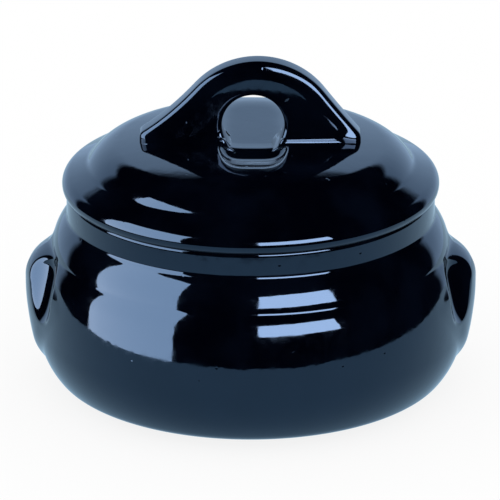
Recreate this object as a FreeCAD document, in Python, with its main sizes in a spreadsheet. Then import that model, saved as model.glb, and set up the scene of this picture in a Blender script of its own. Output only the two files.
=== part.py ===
# Lidded bean pot in glazed stoneware: a squat bellied pot with two side lugs, and a loose lid.
# Millimetres, +Z up. The origin is the centre of the foot, and the lugs lie along X.
import FreeCAD, Part
import math
import os
import Sketcher

# Driving sizes, one row each: name, value, what it measures. Lengths in mm, leans in degrees.
# A lean is how far a wall faces upwards there: 0 is upright, 90 is level and facing up.
SIZES = [
    ("belly_radius", 107.0, "widest radius of the pot"),
    ("belly_height", 31.5, "height of that widest ring"),
    ("wall", 6.5, "thickness of the pot's wall and floor"),
    ("foot_radius", 72.0, "outer radius of the foot ring"),
    ("foot_width", 9.0, "width of the foot ring's bearing face"),
    ("foot_recess", 2.0, "depth of the hollow inside the foot ring"),
    ("lower_curve", 38.0, "radius of the belly below its widest ring"),
    ("lower_lean", -38.0, "lean where the belly meets the heel"),
    ("heel_curve", 12.0, "radius of the heel"),
    ("heel_lean", -70.0, "lean where the heel meets the underside"),
    ("upper_curve", 150.0, "radius of the belly above its widest ring"),
    ("upper_lean", 12.0, "lean where the belly meets the shoulder"),
    ("shoulder_curve", 22.0, "radius of the shoulder"),
    ("shoulder_lean", 38.0, "lean where the shoulder meets the ring groove"),
    ("groove_curve", 2.5, "radius of the groove round the shoulder"),
    ("groove_lean", 5.0, "lean where the groove meets the collar roll"),
    ("roll_curve", 22.5, "radius of the collar roll"),
    ("roll_lean", 43.0, "lean where the roll meets the neck"),
    ("neck_curve", 4.0, "radius of the hollow at the foot of the neck"),
    ("neck_height", 12.0, "height of the upright neck above that hollow"),
    ("rim_round", 1.6, "rounding of the rim's two edges"),
    ("lug_reach", 6.3, "how far a lug stands out past the widest ring"),
    ("lug_top", 67.0, "height of the outer edge of a lug's sloping top"),
    ("lug_top_slope", 34.0, "slope of a lug's top, in degrees below level"),
    ("lug_corner", 6.0, "rounding of a lug's upper outer corner"),
    ("lug_bulge", 52.0, "height where a lug reaches furthest out"),
    ("lug_curve", 98.0, "radius of a lug's outer face below that height"),
    ("lug_bottom", 11.5, "height of a lug's lower end"),
    ("lug_half_width", 6.0, "half width of the level part of a lug's outer face"),
    ("lug_edge", 6.0, "rounding of a lug's upright edges, seen from above"),
    ("lug_flank_lean", 60.0, "turn of a lug's flank away from the front, in degrees"),
    ("lug_root", 16.0, "how far a lug's root runs in from its outer face"),
    ("lug_spread", 36.0, "half width of a lug where it is widest, seen from its side of the pot"),
    ("lug_rise", 45.0, "slope at which a lug widens above its lower end, in degrees"),
    ("lug_crest", 70.0, "height where a lug's top starts to fall to the front and back"),
    ("lug_fall", 27.0, "slope of that fall, in degrees"),
    ("scoop_inset", 8.6, "distance of a finger scoop's centre from the lug's outer face"),
    ("scoop_height", 55.5, "height of a finger scoop's centre"),
    ("scoop_half_width", 12.8, "half width of a finger scoop, measured along the flank"),
    ("scoop_half_height", 17.3, "half height of a finger scoop"),
    ("scoop_depth", 5.2, "depth of a finger scoop below the flank"),
    ("seat_gap", 0.3, "gap between the rim and the lid's seat"),
    ("lid_overhang", 2.0, "how far the lid's edge stands out past the neck"),
    ("lid_wall", 6.5, "thickness of the lid's dome"),
    ("edge_curve", 6.2, "radius of the lid's rolled edge"),
    ("edge_height", 3.4, "height of the rolled edge's centre above the seat"),
    ("brim_lean", 66.0, "lean of the lid's brim"),
    ("brim_width", 7.6, "width of the brim, measured level"),
    ("crease_curve", 5.0, "radius of the crease at the foot of the dome"),
    ("dome_lean", 34.0, "lean at the foot of the dome"),
    ("dome_side_curve", 25.0, "radius of the dome's side"),
    ("dome_side_lean", 62.0, "lean where the side meets the dome's shoulder"),
    ("dome_shoulder_curve", 21.0, "radius of the dome's shoulder"),
    ("dome_top_lean", 87.0, "lean where the shoulder meets the flat crown"),
    ("flange_clearance", 1.5, "radial gap between the locating flange and the neck"),
    ("flange_width", 5.0, "thickness of the locating flange"),
    ("flange_depth", 7.0, "depth of the locating flange below the seat"),
    ("grip_offset", 3.5, "how far the grip's middle lies off the lid's axis"),
    ("grip_height", 41.5, "height of the grip above the lid's crown"),
    ("grip_curve", 42.0, "radius of the grip's arched top"),
    ("grip_right_slope", 51.0, "slope of the grip's right flank, in degrees below level"),
    ("grip_left_slope", 43.0, "slope of the grip's left flank, in degrees below level"),
    ("grip_thickness", 13.5, "thickness of the grip"),
    ("grip_round", 3.0, "rounding of the grip's edges"),
    ("ledge_height", 2.4, "height of the ledge that the grip stands on"),
    ("ledge_half_width", 8.3, "half width of that ledge"),
    ("grip_root", 5.5, "how deep the grip and its ledge run into the crown"),
    ("hole_offset", 1.2, "how far the finger hole lies off the lid's axis"),
    ("hole_radius", 15.5, "radius of the finger hole"),
    ("hole_height", 8.4, "height of the finger hole's centre above the lid's crown"),
    ("dip_half_width", 17.8, "half width of the dip under the finger hole"),
    ("dip_half_length", 43.5, "half length of that dip, front to back"),
    ("dip_depth", 6.8, "depth of that dip below the lid's crown"),
    ("sill_margin", 1.0, "how far the grip's root runs past the dip, to the sides and below"),
]

# How far past a face a cutting solid runs, so that no skin is left.
OVERSHOOT = 5.0
# Share of an ellipsoid's width that is left half-way from its middle to its tip.
MID_WIDTH = math.sqrt(0.75)


class Size:
    """A number together with the formula that gives it from the sheet's named sizes."""

    def __init__(self, number, text):
        self.number = number
        self.text = text

    def joined(self, other, sign, number):
        return Size(number, "(" + self.text + " " + sign + " " + other.text + ")")

    def __add__(self, other):
        other = as_size(other)
        return self.joined(other, "+", self.number + other.number)

    def __sub__(self, other):
        other = as_size(other)
        return self.joined(other, "-", self.number - other.number)

    def __mul__(self, other):
        other = as_size(other)
        return self.joined(other, "*", self.number * other.number)

    def __truediv__(self, other):
        other = as_size(other)
        return self.joined(other, "/", self.number / other.number)

    def __neg__(self):
        return as_size(0.0) - self


def as_size(value):
    """Give a plain number the form of a Size."""
    if isinstance(value, Size):
        return value
    return Size(float(value), repr(float(value)))


def cosine(lean):
    return Size(math.cos(math.radians(lean.number)), "cos(" + lean.text + ")")


def sine(lean):
    return Size(math.sin(math.radians(lean.number)), "sin(" + lean.text + ")")


def root(value):
    return Size(math.sqrt(value.number), "sqrt(" + value.text + ")")


ZERO = as_size(0.0)
# Degrees from an upright wall's lean to a level one's.
LEVEL = as_size(90.0)

doc = FreeCAD.newDocument("bean_pot")
sheet = doc.addObject("Spreadsheet::Sheet", "sizes")
for row, (alias, value, meaning) in enumerate(SIZES, start=1):
    sheet.set("A" + str(row), alias)
    sheet.set("B" + str(row), str(value))
    sheet.set("C" + str(row), meaning)
    sheet.setAlias("B" + str(row), alias)
doc.recompute()
size = {alias: Size(value, "sizes." + alias) for alias, value, meaning in SIZES}


def bind(thing, name, value):
    """Tie one property of an object to a formula over the sheet."""
    thing.setExpression(name, as_size(value).text)


def plane_of(body, role):
    """The body's own origin plane, such as XZ_Plane."""
    return [feature for feature in body.Origin.OriginFeatures if feature.Role == role][0]


def new_sketch(body, name, role):
    sketch = body.newObject("Sketcher::SketchObject", name)
    sketch.AttachmentSupport = (plane_of(body, role), [""])
    sketch.MapMode = "FlatFace"
    return sketch


def vector(point):
    return FreeCAD.Vector(point[0].number, point[1].number, 0)


def turned(centre, radius, lean):
    """The point of a circle where its outward direction has the given lean."""
    return centre[0] + radius * cosine(lean), centre[1] + radius * sine(lean)


class Outline:
    """A closed sketch outline of lines and arcs whose corners are held by formulas."""

    def __init__(self, sketch, start):
        self.sketch = sketch
        self.start = start
        self.last = start
        self.ends = []

    def line_to(self, point):
        index = self.sketch.addGeometry(Part.LineSegment(vector(self.last), vector(point)))
        self.ends.append((index, 1, 2, point))
        self.last = point

    def arc_to(self, point, centre, radius):
        """Carry on round a centre, the short way, to a point."""
        middle = vector(centre)
        first = vector(self.last) - middle
        second = vector(point) - middle
        start_angle = math.atan2(first.y, first.x)
        end_angle = math.atan2(second.y, second.x)
        forward = first.x * second.y - first.y * second.x > 0
        if not forward:
            start_angle, end_angle = end_angle, start_angle
        if end_angle < start_angle:
            end_angle += 2 * math.pi
        circle = Part.Circle(middle, FreeCAD.Vector(0, 0, 1), radius.number)
        index = self.sketch.addGeometry(Part.ArcOfCircle(circle, start_angle, end_angle))
        bounds = (1, 2) if forward else (2, 1)
        self.ends.append((index, bounds[0], bounds[1], point))
        held = self.sketch.addConstraint(Sketcher.Constraint("Radius", index, radius.number))
        bind(self.sketch, "Constraints[" + str(held) + "]", radius)
        self.last = point

    def hold(self, index, position, kind, value):
        """Place one end of a piece of the outline along X or Y."""
        if value is ZERO:
            axis = -2 if kind == "DistanceX" else -1
            self.sketch.addConstraint(Sketcher.Constraint("PointOnObject", index, position, axis))
            return
        held = self.sketch.addConstraint(Sketcher.Constraint(kind, index, position, value.number))
        bind(self.sketch, "Constraints[" + str(held) + "]", value)

    def close(self):
        """Join the ends up and hold every corner where its formula puts it."""
        if self.last is not self.start:
            self.line_to(self.start)
        previous = self.ends[-1]
        for index, first, last, point in self.ends:
            joint = Sketcher.Constraint("Coincident", previous[0], previous[2], index, first)
            self.sketch.addConstraint(joint)
            previous = (index, first, last, point)
        for index, first, last, point in self.ends:
            self.hold(index, last, "DistanceX", point[0])
            self.hold(index, last, "DistanceY", point[1])


def arc_chain(outline, start, steps, inset=ZERO):
    """Run tangent arcs and straights up a wall.

    Each step is a kind, a radius or a width, the lean it starts from and the lean it ends at. An inset
    gives the same wall's inner face: it shrinks the radii of swelling arcs and widens hollow ones.
    """
    point = start
    for kind, reach, lean, next_lean in steps:
        if kind == "swell":
            radius = reach - inset
            centre = (point[0] - radius * cosine(lean), point[1] - radius * sine(lean))
            point = turned(centre, radius, next_lean)
        elif kind == "hollow":
            radius = reach + inset
            centre = (point[0] + radius * cosine(lean), point[1] + radius * sine(lean))
            point = turned(centre, -radius, next_lean)
        outline.arc_to(point, centre, radius)
    return point


def chain_end(start, steps, inset=ZERO):
    """Where arc_chain would end, without drawing it."""

    class Silent:
        def arc_to(self, point, centre, radius):
            return None

    return arc_chain(Silent(), start, steps, inset)


def revolve(body, sketch, name, kind="PartDesign::Revolution"):
    feature = body.newObject(kind, name)
    feature.Profile = sketch
    feature.ReferenceAxis = (sketch, ["V_Axis"])
    feature.Angle = 360
    return feature


def pad(body, sketch, name, length, symmetric=False):
    feature = body.newObject("PartDesign::Pad", name)
    feature.Profile = sketch
    bind(feature, "Length", length)
    if symmetric:
        feature.SideType = "Symmetric"
    return feature


def fuse(name, shapes):
    feature = doc.addObject("Part::MultiFuse", name)
    feature.Shapes = shapes
    return feature


def cut(name, base, tool):
    feature = doc.addObject("Part::Cut", name)
    feature.Base = base
    feature.Tool = tool
    return feature


def ellipsoid(name, half_x, half_y, half_z, centre, lower_half=False):
    feature = doc.addObject("Part::Ellipsoid", name)
    bind(feature, "Radius1", half_z)
    bind(feature, "Radius2", half_x)
    bind(feature, "Radius3", half_y)
    if lower_half:
        feature.Angle2 = 0
    for axis, value in zip("xyz", centre):
        bind(feature, "Placement.Base." + axis, value)
    return feature


# Pot wall: the chain of arcs from the widest ring up to the neck, and down to the heel.
WALL_UP = [
    ("swell", size["upper_curve"], ZERO, size["upper_lean"]),
    ("swell", size["shoulder_curve"], size["upper_lean"], size["shoulder_lean"]),
    ("hollow", size["groove_curve"], size["shoulder_lean"], size["groove_lean"]),
    ("swell", size["roll_curve"], size["groove_lean"], size["roll_lean"]),
    ("hollow", size["neck_curve"], size["roll_lean"], ZERO),
]
WALL_DOWN = [
    ("swell", size["lower_curve"], ZERO, size["lower_lean"]),
    ("swell", size["heel_curve"], size["lower_lean"], size["heel_lean"]),
]
belly_ring = (size["belly_radius"], size["belly_height"])
neck_foot = chain_end(belly_ring, WALL_UP)
neck_radius = neck_foot[0]
rim_height = neck_foot[1] + size["neck_height"]
mouth_radius = neck_radius - size["wall"]


def outer_wall(body):
    """The pot's outside as a full solid of revolution, from the foot to the rim."""
    sketch = new_sketch(body, "outer_profile", "XZ_Plane")
    heel_end = chain_end(belly_ring, WALL_DOWN)
    upper_heel = chain_end(belly_ring, WALL_DOWN[:1])
    outline = Outline(sketch, (ZERO, ZERO))
    outline.line_to((size["foot_radius"], ZERO))
    outline.line_to(heel_end)
    heel_centre = turned(upper_heel, -size["heel_curve"], size["lower_lean"])
    outline.arc_to(upper_heel, heel_centre, size["heel_curve"])
    lower_centre = (belly_ring[0] - size["lower_curve"], belly_ring[1])
    outline.arc_to(belly_ring, lower_centre, size["lower_curve"])
    arc_chain(outline, belly_ring, WALL_UP)
    outline.line_to((neck_radius, rim_height - size["rim_round"]))
    rim_centre = (neck_radius - size["rim_round"], rim_height - size["rim_round"])
    outline.arc_to((neck_radius - size["rim_round"], rim_height), rim_centre, size["rim_round"])
    outline.line_to((ZERO, rim_height))
    outline.close()
    return revolve(body, sketch, "outer_wall")


def cavity(body):
    """The pot's inside as a solid, parallel to the outside at the wall's thickness."""
    sketch = new_sketch(body, "inner_profile", "XZ_Plane")
    inset = size["wall"]
    inner_ring = (belly_ring[0] - inset, belly_ring[1])
    heel_end = chain_end(inner_ring, WALL_DOWN, inset)
    upper_heel = chain_end(inner_ring, WALL_DOWN[:1], inset)
    outline = Outline(sketch, (ZERO, size["foot_recess"] + inset))
    outline.line_to(heel_end)
    heel_radius = size["heel_curve"] - inset
    outline.arc_to(upper_heel, turned(upper_heel, -heel_radius, size["lower_lean"]), heel_radius)
    lower_radius = size["lower_curve"] - inset
    outline.arc_to(inner_ring, (inner_ring[0] - lower_radius, inner_ring[1]), lower_radius)
    arc_chain(outline, inner_ring, WALL_UP, inset)
    lip = size["rim_round"]
    outline.line_to((mouth_radius, rim_height - lip))
    outline.arc_to((mouth_radius + lip, rim_height), (mouth_radius + lip, rim_height - lip), lip)
    outline.line_to((mouth_radius + lip, rim_height + OVERSHOOT))
    outline.line_to((ZERO, rim_height + OVERSHOOT))
    outline.close()
    return revolve(body, sketch, "cavity")


def foot_hollow(body):
    """The shallow hollow inside the foot ring."""
    sketch = new_sketch(body, "foot_hollow_profile", "XZ_Plane")
    inner = size["foot_radius"] - size["foot_width"]
    outline = Outline(sketch, (ZERO, as_size(-OVERSHOOT)))
    outline.line_to((inner, as_size(-OVERSHOOT)))
    outline.line_to((inner, ZERO))
    outline.line_to((inner - size["foot_recess"], size["foot_recess"]))
    outline.line_to((ZERO, size["foot_recess"]))
    outline.close()
    return revolve(body, sketch, "foot_hollow")


def tangent(lean):
    return sine(lean) / cosine(lean)


def lug_outer():
    """Distance of a lug's outer face from the pot's middle."""
    return size["belly_radius"] + size["lug_reach"]


def pocket_through(body, sketch, name):
    pocket = body.newObject("PartDesign::Pocket", name)
    pocket.Profile = sketch
    pocket.Type = "ThroughAll"
    pocket.SideType = "Symmetric"
    doc.recompute()


def lug_side(body):
    """A lug's side view, padded wide enough to be trimmed."""
    outer = lug_outer()
    inner = outer - size["lug_root"]
    side = new_sketch(body, "lug_side", "XZ_Plane")
    outline = Outline(side, (inner, size["lug_bottom"]))
    drop = size["lug_bulge"] - size["lug_bottom"]
    curve = size["lug_curve"]
    toe = outer - curve + root(curve * curve - drop * drop)
    outline.line_to((toe, size["lug_bottom"]))
    outline.arc_to((outer, size["lug_bulge"]), (outer - curve, size["lug_bulge"]), curve)
    corner_centre = (outer - size["lug_corner"], size["lug_top"] - size["lug_corner"])
    corner_end = turned(corner_centre, size["lug_corner"], LEVEL - size["lug_top_slope"])
    outline.line_to((outer, corner_centre[1]))
    outline.arc_to(corner_end, corner_centre, size["lug_corner"])
    rise = (corner_end[0] - inner) * tangent(size["lug_top_slope"])
    outline.line_to((inner, corner_end[1] + rise))
    outline.close()
    pad(body, side, "lug_side_pad", (size["lug_spread"] + OVERSHOOT) * 2.0, symmetric=True)
    doc.recompute()


def trim_flank(body, sign, name):
    """Cut a lug's front or back flank to its view from above: a rounded edge, then a straight ramp."""
    outer = lug_outer()
    sketch = new_sketch(body, "lug_plan_" + name, "XY_Plane")
    centre = (outer - size["lug_edge"], size["lug_half_width"] * sign)
    ramp_start = turned(centre, size["lug_edge"], (LEVEL - size["lug_flank_lean"]) * sign)
    ramp_foot = outer - size["lug_root"] - OVERSHOOT
    widen = (ramp_start[0] - ramp_foot) * tangent(size["lug_flank_lean"])
    ramp_end = (ramp_foot, ramp_start[1] + widen * sign)
    far = ramp_end[1] + OVERSHOOT * sign
    outline = Outline(sketch, (outer + OVERSHOOT, far))
    outline.line_to((outer + OVERSHOOT, centre[1]))
    outline.line_to((outer, centre[1]))
    outline.arc_to(ramp_start, centre, size["lug_edge"])
    outline.line_to(ramp_end)
    outline.line_to((ramp_foot, far))
    outline.close()
    pocket_through(body, sketch, "lug_flank_" + name)


def trim_face(body, sign, name):
    """Cut one half of a lug to its view along X: it widens above its foot, and its top falls away."""
    sketch = new_sketch(body, "lug_face_" + name, "YZ_Plane")
    spread = size["lug_spread"]
    foot = size["lug_half_width"]
    crest = size["lug_half_width"] + size["lug_edge"]
    wide_low = size["lug_bottom"] + (spread - foot) * tangent(size["lug_rise"])
    wide_high = size["lug_crest"] - (spread - crest) * tangent(size["lug_fall"])
    far = (spread + OVERSHOOT * 2.0) * sign
    below = size["lug_bottom"] - OVERSHOOT
    above = size["lug_crest"] + OVERSHOOT * 2.0
    outline = Outline(sketch, (far, below))
    outline.line_to((foot * sign, below))
    outline.line_to((foot * sign, size["lug_bottom"]))
    outline.line_to((spread * sign, wide_low))
    outline.line_to((spread * sign, wide_high))
    outline.line_to((crest * sign, size["lug_crest"]))
    outline.line_to((crest * sign, above))
    outline.line_to((far, above))
    outline.close()
    pocket_through(body, sketch, "lug_outline_" + name)


def lug(body):
    """One lug before its scoops."""
    lug_side(body)
    for sign, name in ((1.0, "back"), (-1.0, "front")):
        trim_flank(body, sign, name)
        trim_face(body, sign, name)
    return body


def scoops():
    """The finger scoops in one lug's front and back flanks, as ellipsoids turned with the flanks."""
    lean = size["lug_flank_lean"]
    centre_x = lug_outer() - size["scoop_inset"]
    run = size["scoop_inset"] - size["lug_edge"]
    flank_y = size["lug_half_width"] + size["lug_edge"] / cosine(lean) + run * tangent(lean)
    depth = size["scoop_depth"]
    half_width = size["scoop_half_width"] / MID_WIDTH
    half_height = size["scoop_half_height"] / MID_WIDTH
    pair = []
    for sign, name in ((1.0, "back"), (-1.0, "front")):
        x = centre_x + depth * sine(lean)
        y = (flank_y + depth * cosine(lean)) * sign
        centre = (x, y, size["scoop_height"])
        scoop = ellipsoid("scoop_" + name, half_width, depth * 2.0, half_height, centre)
        scoop.Placement.Rotation = FreeCAD.Rotation(FreeCAD.Vector(0, 0, 1), -lean.number * sign)
        pair.append(scoop)
    return fuse("scoops", pair)


def mirrored(name, source):
    """The same shape on the pot's other side."""
    feature = doc.addObject("Part::Mirroring", name)
    feature.Source = source
    feature.Normal = FreeCAD.Vector(1, 0, 0)
    return feature


def build_pot():
    outside = doc.addObject("PartDesign::Body", "pot_outside")
    outer_wall(outside)
    inside = doc.addObject("PartDesign::Body", "pot_inside")
    cavity(inside)
    hollow = doc.addObject("PartDesign::Body", "pot_foot_hollow")
    foot_hollow(hollow)
    right_lug = lug(doc.addObject("PartDesign::Body", "right_lug"))
    outside_with_lugs = fuse("outside_with_lugs", [outside, right_lug, mirrored("left_lug", right_lug)])
    right_scoops = scoops()
    hollows = fuse("hollows", [inside, hollow, right_scoops, mirrored("left_scoops", right_scoops)])
    pot = cut("pot_shape", outside_with_lugs, hollows)
    pot.Label = "pot"
    return pot


# Lid outside: from the rolled edge up over the brim and the dome. Heights run from the lid's seat.
seat_height = rim_height + size["seat_gap"]
lid_radius = neck_radius + size["lid_overhang"]
edge_centre = (lid_radius - size["edge_curve"], seat_height + size["edge_height"])
edge_foot_reach = root(size["edge_curve"] * size["edge_curve"] - size["edge_height"] * size["edge_height"])
brim_start = turned(edge_centre, size["edge_curve"], size["brim_lean"])
brim_rise = size["brim_width"] * cosine(size["brim_lean"]) / sine(size["brim_lean"])
brim_end = (brim_start[0] - size["brim_width"], brim_start[1] + brim_rise)
CREASE = [("hollow", size["crease_curve"], size["brim_lean"], size["dome_lean"])]
DOME = [
    ("swell", size["dome_side_curve"], size["dome_lean"], size["dome_side_lean"]),
    ("swell", size["dome_shoulder_curve"], size["dome_side_lean"], size["dome_top_lean"]),
]
dome_foot = chain_end(brim_end, CREASE)
crown_edge = chain_end(dome_foot, DOME)
crown_curve = crown_edge[0] / cosine(size["dome_top_lean"])
crown_height = crown_edge[1] + crown_curve * (as_size(1.0) - sine(size["dome_top_lean"]))
flange_radius = mouth_radius - size["flange_clearance"]
flange_inner = flange_radius - size["flange_width"]


def lid_shell(body):
    """The lid without its grip: rolled edge, brim, dome, locating flange and hollow underside."""
    sketch = new_sketch(body, "lid_profile", "XZ_Plane")
    inset = size["lid_wall"]
    flange_bottom = seat_height - size["flange_depth"]
    crown = (ZERO, crown_height)
    crown_centre = (ZERO, crown_height - crown_curve)
    inner_foot = turned(dome_foot, -inset, size["dome_lean"])
    inner_side_end = chain_end(inner_foot, DOME[:1], inset)
    inner_crown_edge = chain_end(inner_foot, DOME, inset)
    side_radius = size["dome_side_curve"] - inset
    shoulder_radius = size["dome_shoulder_curve"] - inset
    shoulder_centre = turned(inner_side_end, -shoulder_radius, size["dome_side_lean"])
    outline = Outline(sketch, crown)
    outline.line_to((ZERO, crown_height - inset))
    outline.arc_to(inner_crown_edge, crown_centre, crown_curve - inset)
    outline.arc_to(inner_side_end, shoulder_centre, shoulder_radius)
    outline.arc_to(inner_foot, turned(inner_foot, -side_radius, size["dome_lean"]), side_radius)
    outline.line_to((flange_inner, seat_height + size["edge_height"]))
    outline.line_to((flange_inner, flange_bottom))
    outline.line_to((flange_radius, flange_bottom))
    outline.line_to((flange_radius, seat_height))
    outline.line_to((edge_centre[0] + edge_foot_reach, seat_height))
    outline.arc_to(brim_start, edge_centre, size["edge_curve"])
    outline.line_to(brim_end)
    arc_chain(outline, brim_end, CREASE)
    arc_chain(outline, dome_foot, DOME)
    outline.arc_to(crown, crown_centre, crown_curve)
    outline.close()
    return revolve(body, sketch, "lid_shell")


# Grip: an arch that stands on a low ledge along X, with a round hole through it from front to back.
ledge_top = crown_height + size["ledge_height"]
grip_top = crown_height + size["grip_height"]
arch_centre = (size["grip_offset"], grip_top - size["grip_curve"])


def flank(slope, side):
    """Where a flank leaves the arched top, and how far out along X its foot stands on the ledge."""
    head = turned(arch_centre, size["grip_curve"], LEVEL - slope * side)
    run = (head[1] - ledge_top) * cosine(slope) / sine(slope)
    return head, head[0] + run * side


right_head, right_foot = flank(size["grip_right_slope"], 1.0)
left_head, left_foot = flank(size["grip_left_slope"], -1.0)


def grip_body(body):
    """The upright arch and the ledge it stands on."""
    floor = crown_height - size["grip_root"]
    arch = new_sketch(body, "arch_side", "XZ_Plane")
    outline = Outline(arch, (left_foot, floor))
    outline.line_to((right_foot, floor))
    outline.line_to((right_foot, ledge_top))
    outline.line_to(right_head)
    outline.arc_to(left_head, arch_centre, size["grip_curve"])
    outline.line_to((left_foot, ledge_top))
    outline.close()
    arch_pad = pad(body, arch, "arch", size["grip_thickness"], symmetric=True)
    doc.recompute()
    rounded = [
        "Edge" + str(number)
        for number, edge in enumerate(arch_pad.Shape.Edges, start=1)
        if runs_over_arch(edge)
    ]
    rounding = body.newObject("PartDesign::Fillet", "arch_rounding")
    rounding.Base = (arch_pad, rounded)
    bind(rounding, "Radius", size["grip_round"])
    doc.recompute()
    ledge = new_sketch(body, "ledge_side", "XZ_Plane")
    outline = Outline(ledge, (left_foot, floor))
    outline.line_to((right_foot, floor))
    outline.line_to((right_foot, ledge_top))
    outline.line_to((left_foot, ledge_top))
    outline.close()
    pad(body, ledge, "ledge", size["ledge_half_width"] * 2.0, symmetric=True)
    doc.recompute()
    sill = new_sketch(body, "sill_side", "XZ_Plane")
    sill_reach = size["dip_half_width"] + size["sill_margin"]
    sill_floor = crown_height - size["dip_depth"] - size["sill_margin"]
    outline = Outline(sill, (size["hole_offset"] - sill_reach, sill_floor))
    outline.line_to((size["hole_offset"] + sill_reach, sill_floor))
    outline.line_to((size["hole_offset"] + sill_reach, ledge_top))
    outline.line_to((size["hole_offset"] - sill_reach, ledge_top))
    outline.close()
    pad(body, sill, "sill", size["grip_thickness"], symmetric=True)
    doc.recompute()
    return body


def runs_over_arch(edge):
    """True for the long edges of the arch's front and back faces above the ledge."""
    box = edge.BoundBox
    across = box.YLength > size["grip_thickness"].number / 2
    return not across and box.ZMax > ledge_top.number + 1.0 and box.ZMin > crown_height.number


def finger_hole():
    """The round hole through the grip, as a cylinder along Y."""
    hole = doc.addObject("Part::Cylinder", "finger_hole")
    reach = size["ledge_half_width"] + OVERSHOOT
    bind(hole, "Radius", size["hole_radius"])
    bind(hole, "Height", reach * 2.0)
    hole.Placement.Rotation = FreeCAD.Rotation(FreeCAD.Vector(1, 0, 0), -90)
    bind(hole, "Placement.Base.x", size["hole_offset"])
    bind(hole, "Placement.Base.y", -reach)
    bind(hole, "Placement.Base.z", crown_height + size["hole_height"])
    return hole


def build_lid():
    shell = doc.addObject("PartDesign::Body", "lid_dome")
    lid_shell(shell)
    inset = size["lid_wall"]
    dip_centre = (size["hole_offset"], ZERO, crown_height)
    dip = ellipsoid("finger_dip", size["dip_half_width"], size["dip_half_length"], size["dip_depth"], dip_centre)
    under_dip = ellipsoid(
        "under_dip",
        size["dip_half_width"] + inset,
        size["dip_half_length"] + inset,
        size["dip_depth"] + inset / 2.0,
        (size["hole_offset"], ZERO, crown_height - inset / 2.0),
        lower_half=True,
    )
    dome = cut("dipped_dome", fuse("thickened_dome", [shell, under_dip]), dip)
    grip = doc.addObject("PartDesign::Body", "lid_grip")
    grip_body(grip)
    pierced_grip = cut("pierced_grip", grip, finger_hole())
    lid = fuse("lid_shape", [dome, pierced_grip])
    lid.Label = "lid"
    return lid


def check_and_write(pieces):
    """Stop on any broken feature or piece, then write each piece as its own file."""
    doc.recompute()
    broken = [thing.Name for thing in doc.Objects if {"Invalid", "Error"} & set(thing.State)]
    if broken:
        raise RuntimeError("features that did not build: " + ", ".join(broken))
    os.makedirs("parts", exist_ok=True)
    for piece in pieces:
        shape = piece.Shape
        if shape.isNull() or not shape.isValid() or len(shape.Solids) != 1:
            raise RuntimeError(piece.Label + " is not one valid solid")
        shape.exportStep("parts/" + piece.Label + ".step")
        box = shape.BoundBox
        extents = [round(length, 2) for length in (box.XLength, box.YLength, box.ZLength)]
        print(piece.Label, "volume", round(shape.Volume), "extents", extents, "from z", round(box.ZMin, 2))


check_and_write([build_pot(), build_lid()])
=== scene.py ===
"""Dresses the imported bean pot: a glazed stoneware pot with scooped side lugs, and its loose lid.

Lengths are worked out in millimetres and put into the meshes in metres. +Z is up, -Y is the front and
the lugs lie along X. A lean is how far a wall faces upwards: 0 is upright and 90 is level, facing up.
"""

import logging
import math
from dataclasses import dataclass, field
from enum import Enum

import bpy
import numpy as np
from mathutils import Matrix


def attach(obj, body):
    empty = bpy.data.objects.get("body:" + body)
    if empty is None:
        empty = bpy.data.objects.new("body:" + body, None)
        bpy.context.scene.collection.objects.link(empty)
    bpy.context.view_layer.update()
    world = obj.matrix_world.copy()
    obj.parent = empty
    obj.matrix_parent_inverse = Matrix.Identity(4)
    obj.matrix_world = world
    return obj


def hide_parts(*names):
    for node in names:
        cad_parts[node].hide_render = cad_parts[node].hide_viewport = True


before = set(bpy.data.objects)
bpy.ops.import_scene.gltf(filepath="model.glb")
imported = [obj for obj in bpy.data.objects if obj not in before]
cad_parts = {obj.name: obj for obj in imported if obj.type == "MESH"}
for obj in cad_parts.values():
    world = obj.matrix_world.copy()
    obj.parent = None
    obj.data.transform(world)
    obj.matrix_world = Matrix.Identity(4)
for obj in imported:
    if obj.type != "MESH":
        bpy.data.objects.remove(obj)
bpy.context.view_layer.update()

LOG = logging.getLogger("bean_pot")
MM = 0.001
HALVINGS = 26
Array = np.ndarray


class Bend(Enum):
    """Which way an arc of a profile curves."""

    SWELL = 1
    HOLLOW = -1


@dataclass(frozen=True)
class Arc:
    """One tangent arc of a wall's profile: its bend, its radius and the lean at its end."""

    bend: Bend
    radius: float
    lean: float


def smooth_step(values: Array, low: float, high: float) -> Array:
    """Rise from 0 at low to 1 at high, with level ends.

    Args:
        values: the numbers to map.
        low: where the rise starts.
        high: where it ends.

    Returns:
        t * t * (3 - 2 t), with t the clipped share of the way from low to high.
    """
    share = np.clip((values - low) / (high - low), 0.0, 1.0)
    return share * share * (3.0 - 2.0 * share)


def smooth_min(first: Array, second: Array, width: float) -> Array:
    """The smaller of two fields, with a rounded valley where they cross.

    Args:
        first: one field.
        second: the other field.
        width: how far apart the fields are where the rounding starts.

    Returns:
        min(first, second) - h * h * width / 4, with h = max(width - |first - second|, 0) / width.
    """
    near = np.maximum(width - np.abs(first - second), 0.0) / width
    return np.minimum(first, second) - near * near * width / 4.0


def smooth_max(first: Array, second: Array, width: float) -> Array:
    """The larger of two fields, with a rounded edge where they cross."""
    return -smooth_min(-first, -second, width)


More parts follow.
